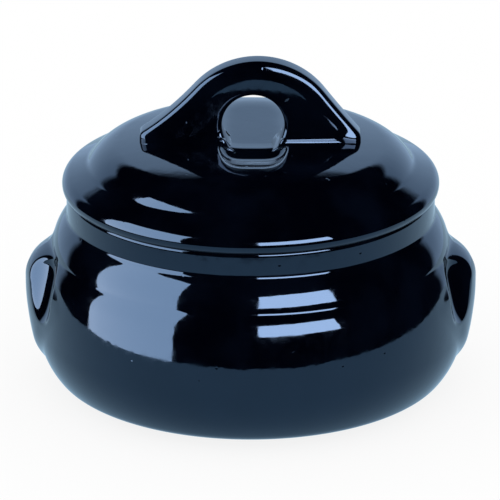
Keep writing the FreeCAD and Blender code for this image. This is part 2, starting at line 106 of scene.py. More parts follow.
def arc_profile(start: tuple[float, float], lean: float, arcs: list[Arc], step: float) -> Array:
    """Carry tangent arcs up a wall.

    A point of an arc is its centre plus, or for a hollow arc minus, the radius times (cos lean, sin lean).

    Args:
        start: radius and height of the first point.
        lean: lean of the wall at that point, in degrees.
        arcs: the arcs in order.
        step: spacing of the points along the wall.

    Returns:
        Rows of radius and height, from the start to the last arc's end.
    """
    runs = [np.array([start])]
    for arc in arcs:
        reach = arc.bend.value * arc.radius
        turn = math.radians(arc.lean - lean)
        count = max(3, int(abs(turn) * arc.radius / step) + 2)
        angles = np.radians(lean) + np.linspace(0.0, turn, count)
        compass = np.stack([np.cos(angles), np.sin(angles)], axis=1)
        runs.append(runs[-1][-1] + reach * (compass - compass[0])[1:])
        lean = arc.lean
    return np.concatenate(runs)


def straight(start: Array, end: tuple[float, float], step: float) -> Array:
    """Evenly spaced points on a line, without its first."""
    count = max(2, int(math.dist(start, end) / step) + 2)
    return np.linspace(start, end, count)[1:]


def respaced(profile: Array, count: int, soften: float) -> Array:
    """Space a profile evenly along its length, with its kinks softened as a glaze does.

    Args:
        profile: rows of radius and height.
        count: how many points to give back.
        soften: standard deviation, in mm along the profile, of the averaging that rounds the kinks.

    Returns:
        Rows of radius and height, with the first and last point kept.
    """
    lengths = np.concatenate([[0.0], np.cumsum(np.linalg.norm(np.diff(profile, axis=0), axis=1))])
    fine = np.linspace(0.0, lengths[-1], int(lengths[-1] / 0.1))
    dense = np.stack([np.interp(fine, lengths, profile[:, axis]) for axis in (0, 1)], axis=1)
    if soften > 0.0:
        spacing = fine[1] - fine[0]
        reach = int(3.0 * soften / spacing) + 1
        weights = np.exp(-0.5 * (np.arange(-reach, reach + 1) * spacing / soften) ** 2)
        weights /= weights.sum()
        ahead = 2.0 * dense[0] - dense[reach:0:-1]
        after = 2.0 * dense[-1] - dense[-2:-reach - 2:-1]
        padded = np.concatenate([ahead, dense, after])
        dense = np.stack([np.convolve(padded[:, axis], weights, "valid") for axis in (0, 1)], axis=1)
    even = np.linspace(0.0, lengths[-1], count)
    return np.stack([np.interp(even, fine, dense[:, axis]) for axis in (0, 1)], axis=1)


def grid_faces(rows: int, columns: int) -> Array:
    """Quads of a grid that closes round its columns.

    Args:
        rows: number of rings of points.
        columns: points in a ring.

    Returns:
        Four point indices a face.
    """
    ring = np.arange(columns)
    after = (ring + 1) % columns
    base = (np.arange(rows - 1) * columns)[:, None]
    corners = [base + ring, base + after, base + columns + after, base + columns + ring]
    return np.stack(corners, axis=-1).reshape(-1, 4)


def pole_faces(pole: int, ring_start: int, columns: int) -> Array:
    """Triangles from a pole to a ring, each as three indices and a repeat of the last."""
    ring = np.arange(columns)
    after = (ring + 1) % columns
    pole_column = np.full(columns, pole)
    return np.stack([pole_column, ring_start + after, ring_start + ring, ring_start + ring], axis=1)


def signed_volume(points: Array, faces: Array) -> float:
    """Volume inside a closed mesh: the sum of a . (b x c) / 6 over its triangles."""
    corners = points[faces]
    halves = [(0, 1, 2), (0, 2, 3)]
    return float(sum(
        np.einsum("ij,ij->", corners[:, a], np.cross(corners[:, b], corners[:, c])) for a, b, c in halves
    ) / 6.0)


def mesh_object(name: str, points: Array, faces: Array) -> bpy.types.Object:
    """Put a closed surface into a smooth-shaded object, with its faces turned outwards.

    Args:
        name: name of the piece.
        points: rows of x, y, z in mm.
        faces: four indices a face, the last two alike where it is a triangle.

    Returns:
        The new object, at the origin.
    """
    if signed_volume(points, faces) < 0.0:
        faces = faces[:, ::-1]
        faces = np.where((faces[:, :1] == faces[:, 1:2]), faces[:, [1, 2, 3, 0]], faces)
    triangle = faces[:, 2] == faces[:, 3]
    counts = np.where(triangle, 3, 4)
    keep = np.ones(faces.shape, bool)
    keep[triangle, 3] = False
    mesh = bpy.data.meshes.new(name)
    mesh.vertices.add(len(points))
    mesh.vertices.foreach_set("co", (points * MM).astype(np.float32).ravel())
    mesh.loops.add(int(counts.sum()))
    mesh.loops.foreach_set("vertex_index", faces[keep].astype(np.int32))
    mesh.polygons.add(len(faces))
    starts = np.concatenate([[0], np.cumsum(counts)[:-1]])
    mesh.polygons.foreach_set("loop_start", starts.astype(np.int32))
    mesh.polygons.foreach_set("use_smooth", np.ones(len(faces), bool))
    mesh.update(calc_edges=True)
    mesh.validate()
    made = bpy.data.objects.new(name, mesh)
    bpy.context.scene.collection.objects.link(made)
    return made


def ring_object(name: str, grid: Array, low_pole: Array, high_pole: Array) -> bpy.types.Object:
    """Close a grid of rings with a pole at each end and make it an object.

    Args:
        name: name of the piece.
        grid: rows, columns and x, y, z of the rings.
        low_pole: the point before the first ring.
        high_pole: the point after the last ring.

    Returns:
        The new object.
    """
    rows, columns, _ = grid.shape
    points = np.concatenate([grid.reshape(-1, 3), [low_pole], [high_pole]])
    low, high = rows * columns, rows * columns + 1
    faces = np.concatenate([
        grid_faces(rows, columns),
        pole_faces(low, 0, columns),
        pole_faces(high, (rows - 1) * columns, columns)[:, [0, 2, 1, 1]],
    ])
    return mesh_object(name, points, faces)


@dataclass(frozen=True)
class Glaze:
    """A thick, glossy, dark midnight-blue stoneware glaze, thinner and paler on sharp edges."""

    name: str = "midnight_glaze"
    pool: tuple[float, float, float] = (0.0002, 0.0004, 0.0022)
    thin: tuple[float, float, float] = (0.0010, 0.0022, 0.0062)
    edge: tuple[float, float, float] = (0.030, 0.050, 0.080)
    tint: tuple[float, float, float] = (0.50, 0.72, 1.0)
    index: float = 1.62
    gloss_low: float = 0.035
    gloss_high: float = 0.075
    cloud_scale: float = 38.0
    grain_scale: float = 240.0
    wave_scale: float = 62.0
    fine_scale: float = 310.0
    fine_share: float = 0.10
    pit_scale: float = 105.0
    worn_from: tuple[float, float] = (0.525, 0.60)
    ripple: float = 0.10
    ripple_height: float = 0.0011
    pinhole: float = 0.12
    pinhole_depth: float = 0.0004

    def material(self) -> bpy.types.Material:
        """Build the node tree.

        Cloudy depth comes from large noise, pale glaze from worn edges by pointiness, ripples from a
        medium noise in the bump, and pinholes from sparse small cells.

        Returns:
            The new material.
        """
        made, tree, shader = new_material(self.name)
        shader.inputs["IOR"].default_value = self.index
        shader.inputs["Specular Tint"].default_value = (*self.tint, 1.0)
        place = tree.nodes.new("ShaderNodeTexCoord").outputs["Object"]
        cloud = noise(tree, place, scale=self.cloud_scale, detail=3.0)
        depth = mix_colour(tree, ramp(tree, cloud, 0.35, 0.75), self.pool, self.thin)
        point = tree.nodes.new("ShaderNodeNewGeometry").outputs["Pointiness"]
        worn = math_node(tree, "MULTIPLY", ramp(tree, point, *self.worn_from), ramp(tree, cloud, 0.25, 0.6))
        colour = mix_colour(tree, worn, None, self.edge, depth)
        tree.links.new(colour, shader.inputs["Base Color"])
        grain = noise(tree, place, scale=self.grain_scale, detail=2.0)
        gloss = map_range(tree, grain, 0.35, 0.70, self.gloss_low, self.gloss_high)
        tree.links.new(gloss, shader.inputs["Roughness"])
        wave = noise(tree, place, scale=self.wave_scale, detail=1.5)
        fine = noise(tree, place, scale=self.fine_scale, detail=1.0)
        swell = math_node(tree, "MULTIPLY_ADD", fine, self.fine_share, wave)
        first = bump(tree, swell, self.ripple, self.ripple_height)
        cells = tree.nodes.new("ShaderNodeTexVoronoi")
        cells.inputs["Scale"].default_value = self.pit_scale
        tree.links.new(place, cells.inputs["Vector"])
        pit = ramp(tree, cells.outputs["Distance"], 0.02, 0.10)
        second = bump(tree, pit, self.pinhole, self.pinhole_depth, first)
        tree.links.new(second, shader.inputs["Normal"])
        return made


def new_material(name: str) -> tuple[bpy.types.Material, bpy.types.NodeTree, bpy.types.Node]:
    """A material with its node tree and its main shader."""
    made = bpy.data.materials.new(name)
    made.use_nodes = True
    return made, made.node_tree, made.node_tree.nodes["Principled BSDF"]


def noise(tree: bpy.types.NodeTree, place: bpy.types.NodeSocket, scale: float,
          detail: float) -> bpy.types.NodeSocket:
    """Cloudy noise over the object's own coordinates, which are in metres."""
    node = tree.nodes.new("ShaderNodeTexNoise")
    node.inputs["Scale"].default_value = scale
    node.inputs["Detail"].default_value = detail
    tree.links.new(place, node.inputs["Vector"])
    return node.outputs["Fac"]


def map_range(tree: bpy.types.NodeTree, value: bpy.types.NodeSocket, low: float, high: float,
              to_low: float, to_high: float) -> bpy.types.NodeSocket:
    """Carry a value smoothly from one range to another."""
    node = tree.nodes.new("ShaderNodeMapRange")
    node.interpolation_type = "SMOOTHSTEP"
    names = ("From Min", "From Max", "To Min", "To Max")
    for socket, number in zip(names, (low, high, to_low, to_high)):
        node.inputs[socket].default_value = number
    tree.links.new(value, node.inputs["Value"])
    return node.outputs["Result"]


def ramp(tree: bpy.types.NodeTree, value: bpy.types.NodeSocket, low: float,
         high: float) -> bpy.types.NodeSocket:
    """Rise from 0 to 1 between two values."""
    return map_range(tree, value, low, high, 0.0, 1.0)


def math_node(tree: bpy.types.NodeTree, operation: str, *values: object) -> bpy.types.NodeSocket:
    """One arithmetic step on sockets or plain numbers."""
    node = tree.nodes.new("ShaderNodeMath")
    node.operation = operation
    for socket, value in zip(node.inputs, values):
        if isinstance(value, float):
            socket.default_value = value
        else:
            tree.links.new(value, socket)
    return node.outputs[0]


def mix_colour(tree: bpy.types.NodeTree, share: bpy.types.NodeSocket, first: object, second: object,
               first_socket: bpy.types.NodeSocket | None = None) -> bpy.types.NodeSocket:
    """Blend two colours by a share, the first given as numbers or as a socket."""
    node = tree.nodes.new("ShaderNodeMix")
    node.data_type = "RGBA"
    tree.links.new(share, node.inputs[0])
    if first_socket is None:
        node.inputs[6].default_value = (*first, 1.0)
    else:
        tree.links.new(first_socket, node.inputs[6])
    node.inputs[7].default_value = (*second, 1.0)
    return node.outputs[2]


def bump(tree: bpy.types.NodeTree, height: bpy.types.NodeSocket, strength: float, distance: float,
         normal: bpy.types.NodeSocket | None = None) -> bpy.types.NodeSocket:
    """Turn a height into a bumped normal, on top of an earlier one where it is given."""
    node = tree.nodes.new("ShaderNodeBump")
    node.inputs["Strength"].default_value = strength
    node.inputs["Distance"].default_value = distance
    tree.links.new(height, node.inputs["Height"])
    if normal is not None:
        tree.links.new(normal, node.inputs["Normal"])
    return node.outputs["Normal"]


@dataclass
class PotBody:
    """The bellied pot with its two side lugs, all one piece of stoneware. Sizes in mm."""

    belly: tuple[float, float] = (106.95, 31.5)
    wall: float = 6.5
    foot_radius: float = 72.0
    foot_width: float = 9.0
    foot_recess: float = 2.0
    neck_height: float = 12.1
    rim_round: float = 1.6
    below: list[Arc] = field(default_factory=lambda: [
        Arc(Bend.SWELL, 38.0, -38.0),
        Arc(Bend.SWELL, 12.0, -70.0),
    ])
    above: list[Arc] = field(default_factory=lambda: [
        Arc(Bend.SWELL, 150.0, 12.0),
        Arc(Bend.SWELL, 22.0, 38.0),
        Arc(Bend.HOLLOW, 1.0, 5.0),
        Arc(Bend.SWELL, 25.6, 43.0),
        Arc(Bend.HOLLOW, 2.3, 0.0),
    ])
    lug_reach: float = 6.3
    lug_top: float = 67.0
    lug_top_slope: float = 34.0
    lug_corner: float = 6.0
    lug_bulge: float = 52.0
    lug_curve: float = 98.0
    lug_bottom: float = 11.5
    lug_half_width: float = 6.0
    lug_flank_lean: float = 60.0
    lug_crest: tuple[float, float] = (12.0, 70.0)
    lug_fall: float = 27.0
    lug_rise: float = 45.0
    lug_edge_round: float = 7.0
    lug_top_round: float = 8.0
    lug_blend: float = 5.5
    lug_foot_blend: float = 3.5
    blend_heights: tuple[float, float] = (10.0, 34.0)
    scoop_inset: float = 8.6
    scoop_height: float = 55.5
    scoop_half_width: float = 12.8
    scoop_half_height: float = 17.3
    scoop_depth: float = 5.2
    scoop_tilt: float = 0.25
    scoop_lip: float = 1.5
    pole_ring: float = 6.0
    lug_sector: tuple[float, float] = (24.0, 36.0)
    lug_crowding: float = 3.6
    ray_turn: float = 19.0
    ray_turn_rise: tuple[float, float] = (0.0, 12.0)
    ray_turn_fall: tuple[float, float] = (20.0, 48.0)
    turning_from: tuple[float, float] = (4.0, 14.0)
    turning_to: tuple[float, float] = (80.0, 92.0)
    ray_inset: float = 3.0
    ray_span: tuple[float, float] = (-16.0, 18.0)
    softness: float = 0.35
    columns: int = 420
    foot_rows: int = 22
    outer_rows: int = 164
    inside_rows: int = 34

    def outer_profile(self) -> Array:
        """The outside from the heel's lower end up to the rim's outer edge."""
        down = arc_profile(self.belly, 0.0, self.below, 0.2)
        up = arc_profile(self.belly, 0.0, self.above, 0.2)
        neck = straight(up[-1], (up[-1][0], up[-1][1] + self.neck_height - self.rim_round), 0.2)
        return np.concatenate([down[::-1], up[1:], neck])

    def inner_profile(self, rim: Array) -> Array:
        """The inside from the mouth down to the floor's middle, a wall's thickness from the outside."""
        inset = self.wall
        ring = (self.belly[0] - inset, self.belly[1])
        shrunk = [Arc(a.bend, a.radius - a.bend.value * inset, a.lean) for a in self.above]
        up = arc_profile(ring, 0.0, shrunk, 0.4)
        lower = [Arc(a.bend, a.radius - inset, a.lean) for a in self.below]
        down = arc_profile(ring, 0.0, lower, 0.4)
        mouth = straight(np.array([up[-1][0], rim[1] - self.rim_round]), tuple(up[-1]), 0.8)
        floor = straight(down[-1], (self.pole_ring, self.foot_recess + inset), 2.0)
        return np.concatenate([mouth, up[::-1][1:], down[1:], floor])

    def rim_profile(self, edge: Array) -> Array:
        """The rounded rim from the outer edge's end over to the mouth."""
        turn = np.radians(np.linspace(0.0, 90.0, 7))[1:]
        compass = np.stack([np.cos(turn), np.sin(turn)], axis=1)
        outer_centre = edge - np.array([self.rim_round, 0.0])
        outer = outer_centre + self.rim_round * compass
        inner_centre = edge - np.array([self.wall - self.rim_round, 0.0])
        inner = inner_centre + self.rim_round * compass[::-1] * np.array([-1.0, 1.0])
        end = inner_centre - np.array([self.rim_round, 0.0])
        return np.concatenate([outer, straight(outer[-1], tuple(inner[0]), 1.0)[:-1], inner, [end]])

    def foot_profile(self, heel: Array) -> Array:
        """The underside from its middle, over the foot ring, out to the heel's lower end."""
        inside = self.foot_radius - self.foot_width
        corners = [
            (self.pole_ring, self.foot_recess),
            (inside - self.foot_recess, self.foot_recess),
            (inside, 0.0),
            (self.foot_radius, 0.0),
            tuple(heel),
        ]
        runs = [np.array([corners[0]])]
        for corner in corners[1:]:
            runs.append(straight(runs[-1][-1], corner, 3.0))
        return respaced(np.concatenate(runs), self.foot_rows, 0.5)[:-1]

    def lug_field(self, reach: Array, across: Array, height: Array) -> Array:
        """How far outside a lug a point is, below zero inside.

        The lug is what lies inside its outer arc and its ramped flank, below its sloping top, below the
        fall of that top to the sides, and above a foot that widens upwards: the greatest of those
        distances, with rounded edges.

        Args:
            reach: distance from the pot's middle along the lug's axis.
            across: distance to the front or back.
            height: height above the foot.

        Returns:
            The field in mm.
        """
        outer = self.belly[0] + self.lug_reach
        below = np.minimum(height - self.lug_bulge, 0.0)
        face = np.hypot(reach - (outer - self.lug_curve), below) - self.lug_curve
        slope = math.radians(self.lug_top_slope)
        corner = (outer - self.lug_corner, self.lug_top - self.lug_corner)
        top = ((reach - corner[0]) * math.sin(slope) + (height - corner[1]) * math.cos(slope)
               - self.lug_corner)
        fall = math.radians(self.lug_fall)
        crest_y, crest_z = self.lug_crest
        gable = (across - crest_y) * math.sin(fall) + (height - crest_z) * math.cos(fall)
        rise = math.radians(self.lug_rise)
        keel = ((across - self.lug_half_width) * math.sin(rise)
                - (height - self.lug_bottom) * math.cos(rise))
        turn = math.radians(self.lug_flank_lean)
        flank = ((reach - corner[0]) * math.sin(turn) + (across - self.lug_half_width) * math.cos(turn)
                 - self.lug_corner)
        side = smooth_max(smooth_max(face, flank, self.lug_edge_round), keel, self.lug_top_round)
        return smooth_max(side, smooth_max(top, gable, self.lug_edge_round), self.lug_top_round)

    def scoop_field(self, reach: Array, across: Array, height: Array) -> Array:
        """How far outside a lug's finger scoop a point is: (q - 1) / |grad q|, with q = a^2 + b^2 + c^4.

        a runs along the flank, b out of it and c upwards, each over the scoop's half size there. The
        middle stands off the flank by the scoop's depth, so that its rim is an open one, and its floor
        leans upwards, so that the scoop is deepest under the lug's top.
        """
        turn = math.radians(self.lug_flank_lean)
        centre_x = self.belly[0] + self.lug_reach - self.scoop_inset
        inset = self.scoop_inset - self.lug_corner
        centre_y = self.lug_half_width + (self.lug_corner + inset * math.sin(turn)) / math.cos(turn)
        dx, dy, rise = reach - centre_x, across - centre_y, height - self.scoop_height
        along = dx * math.cos(turn) - dy * math.sin(turn)
        out = dx * math.sin(turn) + dy * math.cos(turn) - self.scoop_depth + self.scoop_tilt * rise
        open_rim = math.sqrt(0.75)
        sizes = np.array([
            self.scoop_half_width / open_rim, self.scoop_depth * 2.0, self.scoop_half_height / open_rim,
        ])
        share = np.stack([along, out, rise], axis=-1) / sizes
        bulk = share[..., 0] ** 2 + share[..., 1] ** 2 + share[..., 2] ** 4
        steep = np.stack([2.0 * share[..., 0], 2.0 * share[..., 1], 4.0 * share[..., 2] ** 3], axis=-1)
        return (bulk - 1.0) / np.maximum(np.linalg.norm(steep / sizes, axis=-1), 0.05)

    def field_at(self, x: Array, y: Array, z: Array, wall: Array, slope: Array) -> Array:
        """How far outside the pot a point is, below zero inside.

        Args:
            x, y, z: the point.
            wall: radius of the plain pot at that height.
            slope: how fast that radius changes with height.

        Returns:
            The body joined smoothly to the lugs, with the scoops taken out.
        """
        body = (np.hypot(x, y) - wall) / np.sqrt(1.0 + slope * slope)
        reach, across = np.abs(x), np.abs(y)
        lug = self.lug_field(reach, across, z)
        widening = smooth_step(z, *self.blend_heights)
        blend = self.lug_foot_blend + (self.lug_blend - self.lug_foot_blend) * widening
        joined = smooth_min(body, lug, blend)
        return smooth_max(joined, -self.scoop_field(reach, across, z), self.scoop_lip)

    def compass(self) -> tuple[Array, Array]:
        """Angles round the pot, closer together at the lugs, and how far each ray there turns aside.

        Returns:
            The angles from +X in radians, and the signed turn of each ray in radians.
        """
        fine = np.linspace(0.0, 2.0 * math.pi, 7201)
        from_lug = np.degrees(np.abs((fine + math.pi / 2) % math.pi - math.pi / 2))
        density = 1.0 + self.lug_crowding * (1.0 - smooth_step(from_lug, *self.lug_sector))
        total = np.concatenate([[0.0], np.cumsum(0.5 * (density[1:] + density[:-1]))])
        angles = np.interp(np.arange(self.columns) * total[-1] / self.columns, total, fine)
        signed = (angles + math.pi / 2) % math.pi - math.pi / 2
        away = np.degrees(np.abs(signed))
        turn = smooth_step(away, *self.ray_turn_rise) * (1.0 - smooth_step(away, *self.ray_turn_fall))
        return angles, np.sign(signed) * np.radians(self.ray_turn * turn)

    def outer_grid(self, profile: Array) -> Array:
        """Rings of the outside, where level rays first meet the field's zero by halving.

        Args:
            profile: radius and height of each ring of the plain pot.

        Returns:
            Rows, columns and x, y, z.
        """
        angles, turn = self.compass()
        height = profile[:, 1][:, None]
        wall = profile[:, 0][:, None]
        slope = np.gradient(profile[:, 0], profile[:, 1])[:, None]
        lively = smooth_step(height, *self.turning_from) * (1.0 - smooth_step(height, *self.turning_to))
        heading = angles + turn * lively
        base = self.belly[0] - self.ray_inset
        low = np.full(heading.shape, self.ray_span[0])
        high = np.full(heading.shape, self.ray_span[1])
        for _ in range(HALVINGS):
            middle = (low + high) / 2.0
            x = base * np.cos(angles) + middle * np.cos(heading)
            y = base * np.sin(angles) + middle * np.sin(heading)
            inside = self.field_at(x, y, height + 0.0 * x, wall, slope) < 0.0
            low = np.where(inside, middle, low)
            high = np.where(inside, high, middle)
        x = base * np.cos(angles) + low * np.cos(heading)
        y = base * np.sin(angles) + low * np.sin(heading)
        return np.stack([x, y, height + 0.0 * x], axis=-1)

    def build(self) -> bpy.types.Object:
        """Make the pot's whole surface: underside, outside, rim and inside.

        Returns:
            The new object.
        """
        profile = respaced(self.outer_profile(), self.outer_rows, self.softness)
        outside = self.outer_grid(profile)
        foot = self.foot_profile(profile[0])
        rim = self.rim_profile(profile[-1])
        inside = respaced(self.inner_profile(rim[-1]), self.inside_rows, 0.5)[1:]
        angles = np.arctan2(outside[..., 1], outside[..., 0])
        grid = np.concatenate([
            turned_rings(foot, angles[0]),
            outside,
            turned_rings(np.concatenate([rim, inside]), angles[-1]),
        ])
        bottom = np.array([0.0, 0.0, self.foot_recess])
        floor = np.array([0.0, 0.0, inside[-1][1]])
        return ring_object("pot_glazed", grid, bottom, floor)


def turned_rings(profile: Array, angles: Array) -> Array:
    """Turn a profile round the Z axis through the given angles."""
    radius = profile[:, 0][:, None]
    height = profile[:, 1][:, None] + 0.0 * angles
    return np.stack([radius * np.cos(angles), radius * np.sin(angles), height], axis=-1)


@dataclass
class LidDome:
    """The lid: rolled edge, brim, crease and flat-topped dome, with a flange under it. Sizes in mm."""

    radius: float = 94.0
    seat: float = 101.4
    wall: float = 6.5
    edge_curve: float = 6.2
    edge_height: float = 3.4
    brim_lean: float = 66.0
    brim_width: float = 7.6
    dome: list[Arc] = field(default_factory=lambda: [
        Arc(Bend.HOLLOW, 5.0, 34.0),
        Arc(Bend.SWELL, 23.0, 62.0),
        Arc(Bend.SWELL, 20.0, 81.5),
        Arc(Bend.SWELL, 235.0, 88.0),
    ])
    flange_radius: float = 84.0
    flange_inner: float = 79.0
    flange_bottom: float = 94.4
    dip_centre: float = 1.2
    dip_half_width: float = 17.8
    dip_front: float = 43.5
    dip_rise: float = 0.035
    dip_step: tuple[float, float, float] = (3.0, 6.0, 19.0)
    dip_depth: float = 6.8
    dip_power: float = 0.7
    dip_wall: float = 3.0
    dip_lip: float = 0.9
    under_rows: int = 60
    outer_rows: int = 112
    crown_rows: int = 66
    columns: int = 400

    def edge_profile(self) -> Array:
        """The outside from the rolled edge's foot up to the crown's edge."""
        centre = np.array([self.radius - self.edge_curve, self.seat + self.edge_height])
        foot = -math.asin(self.edge_height / self.edge_curve)
        start = centre + self.edge_curve * np.array([math.cos(foot), math.sin(foot)])
        edge = [Arc(Bend.SWELL, self.edge_curve, self.brim_lean)]
        roll = arc_profile(tuple(start), math.degrees(foot), edge, 0.2)
        lean = math.radians(self.brim_lean)
        rise = self.brim_width * math.cos(lean) / math.sin(lean)
        brim_end = (roll[-1][0] - self.brim_width, roll[-1][1] + rise)
        brim = straight(roll[-1], brim_end, 0.2)
        dome = arc_profile(tuple(brim[-1]), self.brim_lean, self.dome, 0.2)
        return np.concatenate([roll, brim, dome[1:]])

    def crown_curve(self, edge: Array) -> tuple[float, float]:
        """Radius of the flat crown's arc, and the height of its middle."""
        lean = math.radians(self.dome[-1].lean)
        curve = edge[0] / math.cos(lean)
        return curve, edge[1] + curve * (1.0 - math.sin(lean))

    def dip(self, x: Array, y: Array, z: Array) -> Array:
        """Sink the crown under the finger hole.

        The dip's depth is d (1 - q)^p. Before the grip q = (x / a)^4 + (y / b)^2. From the hole
        backwards the dip is a step shallower, the second part is left out, and the floor rises gently to
        the crown's edge.
        """
        side = np.abs((x - self.dip_centre) / self.dip_half_width)
        share = side ** 4 + (np.minimum(y, 0.0) / self.dip_front) ** 2
        crown = self.crown_curve(self.edge_profile()[-1])[1]
        bowl = crown - self.dip_depth * np.maximum(1.0 - share, 0.0) ** self.dip_power
        bowl = bowl + self.dip_wall * np.maximum(share - 1.0, 0.0)
        step, near, far = self.dip_step
        raised = step * (1.0 - smooth_step(-y, near, far)) + self.dip_rise * np.maximum(y, 0.0)
        return smooth_min(z, bowl + raised, self.dip_lip)

    def build(self) -> bpy.types.Object:
        """Make the lid's whole surface but its grip.

        Returns:
            The new object.
        """
        outside = respaced(self.edge_profile(), self.outer_rows, 0.4)
        curve, crown = self.crown_curve(outside[-1])
        radii = np.linspace(outside[-1][0], 1.2, self.crown_rows)[1:]
        top = np.stack([radii, crown - curve + np.sqrt(curve ** 2 - radii ** 2)], axis=1)
        under = self.under_profile(outside, crown)
        profile = np.concatenate([under, outside, top])
        angles = np.linspace(0.0, 2.0 * math.pi, self.columns, endpoint=False)
        grid = turned_rings(profile, angles)
        upper = grid[len(under):]
        upper[..., 2] = self.dip(upper[..., 0], upper[..., 1], upper[..., 2])
        low = np.array([0.0, 0.0, under[0][1]])
        middle = self.dip(np.array([0.0]), np.array([0.0]), np.array([crown]))
        return ring_object("lid_glazed", grid, low, np.array([0.0, 0.0, middle[0]]))

    def under_profile(self, outside: Array, crown: float) -> Array:
        """The underside from its middle out over the flange to the rolled edge's foot."""
        ceiling = crown - self.wall
        bottom = ceiling - self.dip_depth
        corners = [
            (2.0, bottom), (26.0, bottom + 0.4), (50.0, ceiling - 1.6), (64.0, ceiling - 2.2),
            (71.0, ceiling - 6.5), (75.2, 112.1), (self.flange_inner, 105.0),
            (self.flange_inner, self.flange_bottom), (self.flange_radius, self.flange_bottom),
            (self.flange_radius, self.seat), tuple(outside[0]),
        ]
        runs = [np.array([corners[0]])]
        for corner in corners[1:]:
            runs.append(straight(runs[-1][-1], corner, 0.6))
        return respaced(np.concatenate(runs), self.under_rows, 0.7)[:-1]


